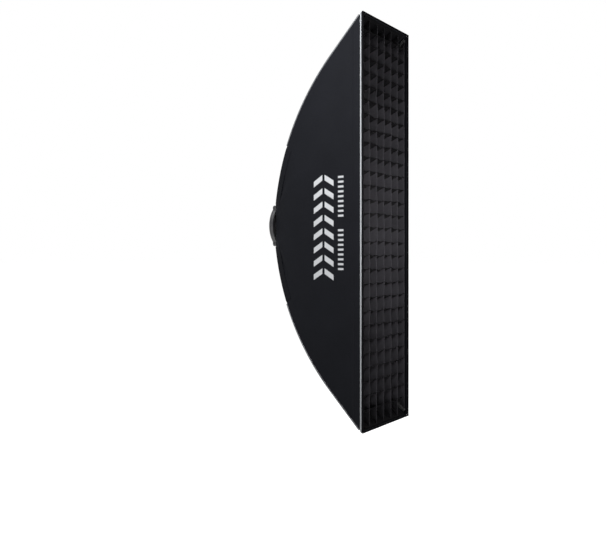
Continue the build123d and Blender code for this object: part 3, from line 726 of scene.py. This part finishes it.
def end_surface(level, inset, hemmed, phase):
    """The top or bottom cloth: rows along the depth, columns from left to right."""
    reach = half_x(depths)
    x = mirrored(np.array([across(r + (0 if hemmed else INNER_LAP)) for r in reach]))
    y = depths[:, None]
    u = np.abs(x) / reach[:, None]
    lift = creases(y, u, phase, 0.0)
    if hemmed:
        lift = lift + hems(run_along, reach[:, None] - np.abs(x), SHELL_REAR - y)
    slope_y = np.gradient(seam_z(depths), depths)[:, None]
    length = np.hypot(1, slope_y)
    out_y, out_z = -slope_y / length, 1 / length
    z = seam_z(y) + (lift - inset) * out_z
    y = y + (lift - inset) * np.where(y > SHELL_FRONT + FRONT_FLAT, out_y, 0)
    return stacked(x, y, level * z), stacked(run_along, x)


LEAD_Y = FRONT + np.array([0.0048, 0.0074, 0.0100])
LEAD_X, LEAD_Z = 0.1463, 0.5953
LEAD_CORNER, LEAD_EASE = 0.0013, 0.008
LEAD_FLARE = np.array([0.0009, 0.0, 0.0])   # the end facings close up against the lip in front


def lead_rows(reach, wall):
    """Distances along and from the middle of a facing that runs forward to the lip, inside the
    piping; it is drawn in at the ends, where the piping rounds the corner."""
    along = across(reach + EDGE[0])
    off = wall - LEAD_CORNER * ease((along - reach) / LEAD_EASE + 1)
    return along, off


def side_lead(side, level):
    """Rows in front of a side facing."""
    z, x = lead_rows(LEAD_Z, LEAD_X)
    return stacked(side * x, LEAD_Y[:, None], level * z)


def end_lead(level):
    """Rows in front of the top or bottom facing."""
    half, z = lead_rows(LEAD_X, LEAD_Z)
    z = np.concatenate([z[:0:-1], z]) + LEAD_FLARE[:, None]
    return stacked(mirrored(half), LEAD_Y[:, None], level * z)


def extend(surface, uv, lead):
    """Adds the lead rows in front of a surface, with their share of the cloth's coordinates."""
    run = np.linalg.norm(np.diff(np.concatenate([lead, surface[:1]]), axis=0), axis=2)
    back = np.cumsum(run[::-1], axis=0)[::-1]
    lead_uv = uv[:1] - stacked(back, 0)
    return np.concatenate([lead, surface]), np.concatenate([lead_uv, uv])


# Inside, black facing runs from the lip to the diffuser and silver lining from there back.
lining_start = int(np.searchsorted(depths, DIFFUSER_Y - 0.001))
INNER_CLOTHS = {"facing": slice(0, lining_start + 1), "lining": slice(lining_start, None)}
INNER_FINISH = {"facing": "black_shell_cloth", "lining": "silver_lining"}
PANEL_SHEET = 0.0009
SIDE_PHASE = {"left": 0.3, "right": 1.1}    # the sides crease a little differently
END_PHASE = 0.7
soft_trim = {level: [] for level in LEVELS}
soft_trim.update({f"{level}_{side}": [] for level in LEVELS for side in SIDES})


def inner_cloths(surface, uv, lead, outward, name, panel, **home):
    """Facing and lining from one inner surface; name holds a place for the kind."""
    for kind, rows in INNER_CLOTHS.items():
        cloth, cloth_uv = surface[rows], uv[rows]
        if kind == "facing":
            cloth, cloth_uv = extend(cloth, cloth_uv, lead)
        obj = sheet_piece(
            name.format(kind), cloth, cloth_uv, LINING, outward, INNER_FINISH[kind], **home
        )


for (side_name, side), (level_name, level) in product(SIDES.items(), LEVELS.items()):
    phase = SIDE_PHASE[side_name]
    finish = "marked_cloth" if side_name == "left" else "black_shell_cloth"
    surface, uv = side_surface(side, level, 0.0, True, phase)
    panel = sheet_piece(
        f"{side_name}_panel_{level_name}", surface, uv, PANEL_SHEET, (side, 0, 0), finish,
        "black_shell_cloth", replaces=[f"{side_name}_panel"], level=level_name,
    )
    inner_cloths(
        *side_surface(side, level, FABRIC, False, phase), side_lead(side, level),
        (side, 0, 0), f"{side_name}_{{}}_{level_name}", panel.name,
        replaces=[f"{side_name}_lining"], level=level_name,
    )

for level_name, level in LEVELS.items():
    end, arms = ENDS[level_name], f"{level_name}_arms"
    surface, uv = end_surface(level, 0.0, True, END_PHASE)
    panel = sheet_piece(
        f"{end}_panel_cloth", surface, uv, PANEL_SHEET, (0, 0, level), "black_shell_cloth",
        body=arms, replaces=[f"{end}_panel"],
    )
    inner_cloths(
        *end_surface(level, FABRIC, False, END_PHASE), end_lead(level), (0, 0, level),
        f"{end}_{{}}_cloth", panel.name, body=arms, replaces=[f"{end}_lining"],
    )

# ---- lips and front piping ----
lip_profile = rounded(LIP_WALL, LIP_DEPTH, 0.0014)
LIP_STEP, CORD_STEP = 0.006, 0.0022
CORD_R = PIPING_R - 0.00008     # the puckers make up the rest
lip_y = FRONT + LIP_DEPTH / 2
LIP_END_Z = HALF_HEIGHT - LIP_WALL - 0.0003
PIPING_END_Z = PIPING_Z - PIPING_CORNER - 0.0008


def cord(radius, path):
    return puckered(circle(radius), path, STITCH_PITCH)


def binding(path):
    return puckered(lip_profile[:, ::-1], path, BINDING_PITCH)


for (side_name, side), (level_name, level) in product(SIDES.items(), LEVELS.items()):
    x = side * (HALF_WIDTH - LIP_WALL / 2)
    path = straight((x, lip_y, 0), (x, lip_y, level * LIP_END_Z), LIP_STEP)
    parts = [tube_parts(path, binding(path))]
    obj = join_parts(f"{side_name}_lip_{level_name}", parts, "lip_cloth")
    settle(obj, "lip_cloth", replaces=[f"{side_name}_lip"], level=level_name)
    soft_trim[f"{level_name}_{side_name}"].append(obj)
    start = (side * PIPING_X, PIPING_Y, 0)
    path = straight(start, (side * PIPING_X, PIPING_Y, level * PIPING_END_Z), CORD_STEP)
    parts = [tube_parts(path, cord(CORD_R, path))]
    obj = join_parts(f"{side_name}_piping_{level_name}", parts, "silver_piping")
    settle(obj, "silver_piping", replaces=[f"{side_name}_piping"], level=level_name)
    soft_trim[f"{level_name}_{side_name}"].append(obj)

for level_name, level in LEVELS.items():
    end = ENDS[level_name]
    z = level * (HALF_HEIGHT - LIP_WALL / 2)
    reach = HALF_WIDTH - 0.0004
    path = straight((-reach, lip_y, z), (reach, lip_y, z), LIP_STEP)
    parts = [tube_parts(path, binding(path), up=(0, 0, level))]
    obj = join_parts(f"{end}_lip_binding", parts, "lip_cloth")
    settle(obj, "lip_cloth", f"{level_name}_arms", [f"{end}_lip"])
    soft_trim[level_name].append(obj)
    half = [(PIPING_X, PIPING_Z - PIPING_CORNER - 0.0005)]
    for turn in np.linspace(0, math.pi / 2, 7):
        half.append((
            PIPING_X - PIPING_CORNER * (1 - math.cos(turn)),
            PIPING_Z - PIPING_CORNER * (1 - math.sin(turn)),
        ))
    half = np.array(half)
    across_end = straight(half[-1], half[-1] * (-1, 1), CORD_STEP)[1:-1]
    outline = np.concatenate([half, across_end, half[::-1] * (-1, 1)])
    path = stacked(outline[:, 0], PIPING_Y, level * outline[:, 1])
    parts = [tube_parts(path, cord(CORD_R, path), up=(0, 1, 0))]
    obj = join_parts(f"{end}_piping_cord", parts, "silver_piping")
    settle(obj, "silver_piping", f"{level_name}_arms", [f"{end}_piping"])
    soft_trim[level_name].append(obj)

# ---- corner piping and flaps ----
def corner_point(side, level, z):
    """Point of a corner seam at each height in z."""
    y = seam_y(z)
    return stacked(side * half_x(y), y, level * z)


FLAP_SHEET = 0.0010
FLAP_OFF = 0.0011           # how far the flap stands off the cloth it covers
FLAP_BEND = 0.003
FLAP_STITCH = 0.0215        # from the seam to the stitched border
FLAP_STEPS = 44


def flap_surface(side, level):
    """Flap folded round a rear corner: rows along the seam, columns across it."""
    z = np.linspace(FLAP_START_Z, FLAP_FRONT_Z, FLAP_STEPS)
    lean = np.gradient(seam_y(z), z)[:, None]
    length = np.hypot(1, lean)
    in_y, in_z = -1 / length, lean / length
    d = np.concatenate([
        FLAP_WIDTH - np.array([0, 0.001, 0.0022, 0.0034]),
        np.linspace(FLAP_WIDTH - 0.005, FLAP_BEND, 9),
    ])
    pucker = 0.0003 * np.sin(0.9 * np.arange(FLAP_STEPS))[:, None]
    lift = FLAP_OFF + 0.0005 * np.exp(-(((d - FLAP_STITCH) / 0.002) ** 2)) + pucker
    turn = np.linspace(0, math.pi / 2, 6)
    bend_x, bend = (FLAP_OFF + FLAP_BEND * (part - 1) for part in (np.cos(turn), np.sin(turn)))
    z = z[:, None]
    y = seam_y(z)
    y_side = y + d * in_y
    surface = np.concatenate([
        stacked(half_x(y_side) + lift, y_side, z + d * in_z),
        stacked(half_x(y) + bend_x, y - in_y * bend, z - in_z * bend),
        stacked(half_x(y) - d, y - in_y * lift, z - in_z * lift)[:, ::-1],
    ], axis=1)
    uv = stacked(run_of(surface[:, 0])[:, None], run_of(surface[0]))
    return surface * (side, 1, level), uv


for (level_name, level), (side_name, side) in product(LEVELS.items(), SIDES.items()):
    arms = f"{level_name}_arms"
    prefix = f"{level_name}_{side_name}"
    path = corner_point(side, level, np.linspace(CORNER_TOP_Z, CORNER_END_Z, 190))
    section = cord(CORNER_R, path)
    section[0] *= 0.8
    section[-1] *= 0.85
    parts = [tube_parts(path, section)]
    # The corner piping takes the darker copy of the silver piping, painted shade.
    corner = join_parts(f"{prefix}_corner_piping", parts, "corner_piping")
    settle(corner, "silver_piping", arms, [f"{prefix}_piping"])
    soft_trim[level_name].append(corner)
    surface, uv = flap_surface(side, level)
    flap = sheet_piece(
        f"{prefix}_closure_flap", surface, uv, FLAP_SHEET, (side, 0, level), "flap_cloth",
        body=arms, replaces=[f"{prefix}_flap"],
    )

# ---- rod pockets ----
POCKET_R, POCKET_SQUEEZE = 0.0054, 0.96
for (level_name, level), (side_name, side) in product(LEVELS.items(), SIDES.items()):
    node = frame["nodes"][f"{level_name}_{side_name}_pocket"]
    co = np.array([v.co for v in node.data.vertices], float)
    middle = (co.min(0) + co.max(0)) / 2
    axis = np.linalg.svd(co - co.mean(0), full_matrices=False)[2][0]
    axis *= np.sign(axis[2]) * level
    along = (co - middle) @ axis
    half = along.max()
    places = np.array([-1, -0.985, -0.93, -0.9, -0.86, -0.5, -0.1, 0.3, 0.6, 0.8, 0.9, 0.97, 1])
    widths = np.array([0.9, 0.97, 1.0, 0.95, 1.0, 0.99, 0.98, 0.99, 0.98, 0.96, 0.88, 0.7, 0.45])
    path = middle + axis * (places * half)[:, None]
    section = circle(POCKET_R, 20)[None] * widths[:, None, None]
    section[:, :, 1] *= POCKET_SQUEEZE
    parts = [tube_parts(path, section)]
    sleeve = join_parts(f"{level_name}_{side_name}_rod_pocket", parts, "webbing")
    settle(sleeve, "webbing", f"{level_name}_arms", [f"{level_name}_{side_name}_pocket"])

# ---- inner baffle and its straps ----
def panel_sheet(half_width, height, notch, y, level, belly, rows=50):
    """Upper or lower half of a flat stretched cloth whose corner is cut away or rounded."""
    z = np.concatenate([[0, SELVAGE], np.linspace(0, height, rows)[1:]])
    beyond = np.clip((z - (height - notch)) / notch, 0, 1)
    reach = half_width - notch * (1 - np.sqrt(np.maximum(1 - beyond**2, 0.02)))
    t, z = np.linspace(-1, 1, 25), z[:, None]
    x, u = reach[:, None] * t, z / height
    ripple = np.cos(5.0 * math.pi * u) * 0.4 + np.cos(9.1 * math.pi * u + 3 * t) * 0.25 * u * u
    sag = belly * (1 - t**2) * (1 - u**2) * (1 + 0.3 * ripple)
    hem = 0.0005 * (np.abs(t) > 0.93) + 0.0005 * (u > 0.975)
    return stacked(x, y - sag - hem, level * z), stacked(x, level * z)


DIFFUSION_SHEET, STRAP_SHEET = 0.0005, 0.0009
BAFFLE_CORNER, BAFFLE_BELLY = 0.010, 0.003
STRAP_Z = BAFFLE_Z - 0.016
STRAP_Y = BAFFLE_Y - 0.0016
STRAP_START_X = BAFFLE_X - 0.012
STRAP_HALF = np.linspace(-0.006, 0.006, 5)
TAB_HALF_Y, TAB_HALF_Z = np.linspace(-0.008, 0.008, 7), np.linspace(-0.010, 0.010, 7)
TAB_GAP = FABRIC + LINING + 0.0008      # from the shell's outside to the tab
for level_name, level in LEVELS.items():
    surface, uv = panel_sheet(BAFFLE_X, BAFFLE_Z, BAFFLE_CORNER, BAFFLE_Y, level, BAFFLE_BELLY)
    baffle = sheet_piece(
        f"baffle_{level_name}", surface, uv, DIFFUSION_SHEET, (0, -1, 0), "diffusion_cloth",
        replaces=["inner_baffle"], level=level_name,
    )
    parts = []
    z = level * STRAP_Z
    for side in SIDES.values():
        wall = float(half_x(BAFFLE_Y)) - TAB_GAP - 0.0001
        path = straight((side * STRAP_START_X, STRAP_Y, z), (side * wall, STRAP_Y, z), 0.003)
        x, y = path[:, :1], (BAFFLE_Y + TAB_HALF_Y)[:, None]
        strap = stacked(x, STRAP_Y, z + STRAP_HALF)
        strap_uv = stacked(np.abs(x), STRAP_HALF)
        parts.append(sheet_parts(strap, strap_uv, STRAP_SHEET, (0, -1, 0)))
        tab = stacked(side * (half_x(y) - TAB_GAP), y, z + TAB_HALF_Z)
        parts.append(sheet_parts(tab, stacked(y, TAB_HALF_Z), STRAP_SHEET, (side, 0, 0)))
    straps = join_parts(f"baffle_straps_{level_name}", parts, "elastic")
    settle(straps, "elastic", replaces=["baffle_straps"], level=level_name)

# ---- front diffuser and its tapes ----
def lining_strip(inset, front, rear, reach, level):
    """Tape just inside the lining of the top or bottom: rows along the depth."""
    y, x = np.linspace(front, rear, 6), np.linspace(-reach, reach, 40)
    lean = np.gradient(seam_z(y), y)[:, None]
    length, y = np.hypot(1, lean), y[:, None]
    z = level * (seam_z(y) - inset / length)
    return stacked(x, y + inset * lean / length, z), stacked(x, y)


def side_tape(inset, front, rear, reach, side, level):
    """Tape just inside the lining of a side, from the middle to a corner."""
    y, z = np.linspace(front, rear, 6)[:, None], np.linspace(0, reach, 50)
    return stacked(side * (half_x(y) - inset), y, level * z), stacked(z, y)


TAPE = (0.0028, FRONT + 0.053, FRONT + 0.062)       # depth inside the shell, front and rear edge
TAPE_SHEET, DIFFUSER_BELLY = 0.0010, 0.002
for level_name, level in LEVELS.items():
    end = ENDS[level_name]
    pair = {"still": "diffuser", "turning": f"diffuser_{end}_edge"}
    surface, uv = panel_sheet(
        DIFFUSER_X, DIFFUSER_Z, NOTCH, DIFFUSER_Y, level, DIFFUSER_BELLY, rows=70
    )
    diffuser = sheet_piece(
        f"diffuser_{level_name}", surface, uv, DIFFUSION_SHEET, (0, -1, 0), "diffusion_cloth",
        replaces=["front_diffuser"], level=level_name, **pair,
    )
    parts = []
    for side in SIDES.values():
        tape, tape_uv = side_tape(*TAPE, DIFFUSER_Z - NOTCH, side, level)
        parts.append(sheet_parts(tape, tape_uv, TAPE_SHEET, (side, 0, 0)))
    tapes = join_parts(f"diffuser_tapes_{level_name}", parts, "hook_tape")
    settle(tapes, "hook_tape", replaces=["diffuser_side_tapes"], level=level_name, **pair)
    edge_tape = sheet_piece(
        f"diffuser_{end}_hook_tape", *lining_strip(*TAPE, DIFFUSER_X - NOTCH, level),
        TAPE_SHEET, (0, 0, level), "hook_tape",
        body=f"diffuser_{end}_edge", replaces=[f"diffuser_{end}_tape"],
    )

# ---- light-control grid ----
column_pitch = 2 * GRID_HALF_X / COLUMNS
row_pitch = 2 * GRID_HALF_Z / ROWS
column_x = [c * column_pitch - GRID_HALF_X for c in range(COLUMNS + 1)]
row_z = [r * row_pitch - GRID_HALF_Z for r in range(ROWS + 1)]
BACKS = [b / GRID_DEPTH for b in (0.0, 0.0015, 0.0030, 0.014, 0.025, GRID_DEPTH)]
RUNG_TILT = 0.0175          # a level strip's front edge is this much higher than its rear edge
HIGH_Z, HIGH_X = 0.540, 0.127   # beyond this height the strips end here, clear of the rods
GRID_SHEET, BORDER_SHEET = 0.0009, 0.0011
KNOTS = list(product(range(COLUMNS + 1), range(ROWS + 1)))
jitter, bow = {}, {}
for c, r in KNOTS:
    loose = 1.0 if 0 < c < COLUMNS else 0.3
    held = 0.4 if r in (0, ROWS) else 1.0
    jitter[c, r] = np.array([
        [random.gauss(0, 0.0016) * loose, random.gauss(0, 0.0012) * held],
        [random.gauss(0, 0.0008) * loose, random.gauss(0, 0.0006) * held],
    ])
for knot in KNOTS:
    bow[knot] = random.gauss(0, 0.0013), 0.0016 + abs(random.gauss(0, 0.0012))


def crossing(c, r, back):
    """Place where two strips cross; back runs from 0 at the front edge to 1 at the rear."""
    shift = jitter[c, r][0] * (1 - back) + jitter[c, r][1] * back
    return column_x[c] + shift[0], row_z[r] + shift[1]


def smooth_line(stops, segments):
    """Catmull-Rom curve through the stops."""
    stops = np.asarray(stops, float)
    padded = np.concatenate([[2 * stops[0] - stops[1]], stops, [2 * stops[-1] - stops[-2]]])
    t = np.linspace(0, 1, segments, endpoint=False)[:, None]
    line = []
    for p0, p1, p2, p3 in zip(padded, padded[1:], padded[2:], padded[3:]):
        square, cube = 2 * p0 - 5 * p1 + 4 * p2 - p3, 3 * p1 - p0 - 3 * p2 + p3
        line.append(0.5 * (2 * p1 + (p2 - p0) * t + square * t**2 + cube * t**3))
    return np.concatenate([*line, stops[-1:]])


def vertical_strip(c, level):
    """Upper or lower half of a vertical strip."""
    middle = ROWS // 2
    rows = range(middle + 1, ROWS + 1) if level > 0 else range(middle, -1, -1)
    lines = []
    for back in BACKS:
        y = GRID_FRONT + back * GRID_DEPTH
        last = float(seam_z(max(y, TIP_Y))) - (0.0155 if c in (0, COLUMNS) else 0.0050)
        below, above = crossing(c, middle, back), crossing(c, middle + 1, back)
        stops = [((below[0] + above[0]) / 2, 0.0)]
        for r in rows:
            x, z = crossing(c, r, back)
            swing = bow[c, r][0] * (1 - 0.6 * back)
            if abs(z) < last - 0.012:
                mid_z = (stops[-1][1] + z) / 2
                mid_x = (stops[-1][0] + x) / 2
                if len(stops) > 1:
                    stops.append((mid_x + swing, mid_z))
                stops.append((x, z))
        stops.append((column_x[c] + jitter[c, rows[-1]][0][0] * 0.3, level * last))
        line = smooth_line(stops, 3)
        line = np.insert(line, 1, line[0] + (line[1] - line[0]) * 0.1, axis=0)
        lines.append(stacked(line[:, 0], y, line[:, 1]))
    length = min(len(line) for line in lines)
    surface = np.array([line[:length] for line in lines])
    surface[:, -1, 2] = [line[-1, 2] for line in lines]
    return surface, stacked(surface[:, :, 1] - FRONT, surface[:, :, 2])


def horizontal_strip(r):
    """A horizontal strip: it hangs a little between the vertical ones, its rear edge lower."""
    high = abs(row_z[r]) > HIGH_Z
    lines = []
    for back in BACKS:
        y = GRID_FRONT + back * GRID_DEPTH
        tilt = RUNG_TILT * (0.5 - back)
        stops = []
        for c in range(COLUMNS + 1):
            x, z = crossing(c, r, back)
            if c in (0, COLUMNS):
                reach = HIGH_X if high else GRID_HALF_X - GRID_SHEET
                x = math.copysign(reach, x)
            if stops:
                droop = bow[c, r][1] * (1 - 0.75 * back)
                stops.append(((stops[-1][0] + x) / 2, (stops[-1][1] + z + tilt) / 2 - droop))
            stops.append((x, z + tilt))
        line = smooth_line(stops, 4)
        lines.append(stacked(line[:, 0], y, line[:, 1]))
    surface = np.array(lines)
    return surface, stacked(surface[:, :, 1] - FRONT, surface[:, :, 0])


for level_name, level in LEVELS.items():
    end = ENDS[level_name]
    pair = {"still": "grid", "turning": f"grid_{end}_edge"}
    # The upright strips take the grid cloth painted lighter, painted light; the hem and the level
    # strips take its darker copy, painted shade.
    strips = [vertical_strip(c, level) for c in range(COLUMNS + 1)]
    parts = [sheet_parts(strip, uv, GRID_SHEET, (1, 0, 0)) for strip, uv in strips]
    uprights = join_parts(f"grid_uprights_{level_name}", parts, "grid_cloth")
    settle(uprights, "grid_cloth", replaces=["grid_vertical_strips"], level=level_name, **pair)
    hem = sheet_piece(
        f"grid_{end}_hem", *lining_strip(0.0030, GRID_FRONT, GRID_FRONT + GRID_DEPTH, HIGH_X, level),
        BORDER_SHEET, (0, 0, level), "rung_cloth", "grid_cloth",
        body=f"grid_{end}_edge", replaces=[f"grid_{end}_border"],
    )
    strips = [horizontal_strip(r) for r in range(1, ROWS) if (r - ROWS / 2) * level > 0]
    parts = [sheet_parts(strip, uv, GRID_SHEET, (0, 0, 1)) for strip, uv in strips]
    rungs = join_parts(f"grid_rungs_{level_name}", parts, "rung_cloth")
    settle(rungs, "grid_cloth", replaces=["grid_horizontal_strips"], level=level_name, **pair)

# ---- floor and light ----
FLOOR_Z = -0.78
FLOOR_REACH = 60.0
FLOOR_GREY, FLOOR_GLOW = 0.35, 0.85
floor_mesh = bpy.data.meshes.new("floor")
floor_mesh.from_pydata(
    [(x * FLOOR_REACH, y * FLOOR_REACH, FLOOR_Z) for x, y in ((-1, -1), (1, -1), (1, 1), (-1, 1))],
    [], [(0, 1, 2, 3)],
)
floor_nodes = Nodes("floor", 0.9, 0.0)
floor_nodes.colour((FLOOR_GREY, FLOOR_GREY, FLOOR_GREY, 1.0))
floor_nodes.set("Emission Color", (1, 1, 1, 1))
floor_nodes.set("Emission Strength", FLOOR_GLOW)
floor_mesh.materials.append(floor_nodes.material)
add_object("floor", floor_mesh)

# The studio looks white all round, and lights the object mostly from behind.
WALL_DIM, WALL_BRIGHT = 0.22, 0.9
WALL_AXIS = (0.84, 0.54, 0.0)           # from the dim wall to the bright one
WALL_START, WALL_END = -0.3, 0.6        # where the change starts and ends along it
world = bpy.data.worlds.new("studio")
world.use_nodes = True
sky, link = world.node_tree.nodes, world.node_tree.links.new
background = sky["Background"]
background.inputs["Color"].default_value = (1.0, 1.0, 1.0, 1.0)
toward = sky.new("ShaderNodeVectorMath")
toward.operation = "DOT_PRODUCT"
toward.inputs[1].default_value = WALL_AXIS
fade = sky.new("ShaderNodeMapRange")
fade.interpolation_type = "SMOOTHSTEP"
for socket, value in {1: WALL_START, 2: WALL_END, 3: WALL_DIM, 4: WALL_BRIGHT}.items():
    fade.inputs[socket].default_value = value
seen = sky.new("ShaderNodeMath")
seen.operation = "MAXIMUM"
link(sky.new("ShaderNodeTexCoord").outputs["Generated"], toward.inputs[0])
link(toward.outputs["Value"], fade.inputs["Value"])
link(sky.new("ShaderNodeLightPath").outputs["Is Camera Ray"], seen.inputs[0])
link(fade.outputs["Result"], seen.inputs[1])
link(seen.outputs["Value"], background.inputs["Strength"])
scene.world = world
scene.view_settings.view_transform = "Standard"

# Square soft lights: place, what they are turned to, side in metres, watts.
LIGHTS = {
    "side": ((-1.0, -0.15, 0.85), (0, -0.25, 0.35), 0.6, 34),
    "front": ((-0.30, -0.82, 0.05), (0, -0.36, 0.0), 0.25, 4.5),
    "top": ((0.4, -0.6, 3.2), (0, -0.2, 0), 2.0, 20),
    "fill": ((1.3, -0.1, 0.9), (0, -0.25, 0.2), 0.8, 26),
}
for name, (place, target, size, power) in LIGHTS.items():
    data = bpy.data.lights.new(name, "AREA")
    data.shape = "RECTANGLE"
    data.size = data.size_y = size
    data.energy = power
    light = add_object(name, data)
    light.location = place
    light.rotation_euler = (Vector(target) - Vector(place)).to_track_quat("-Z", "Y").to_euler()
    light.visible_camera = False
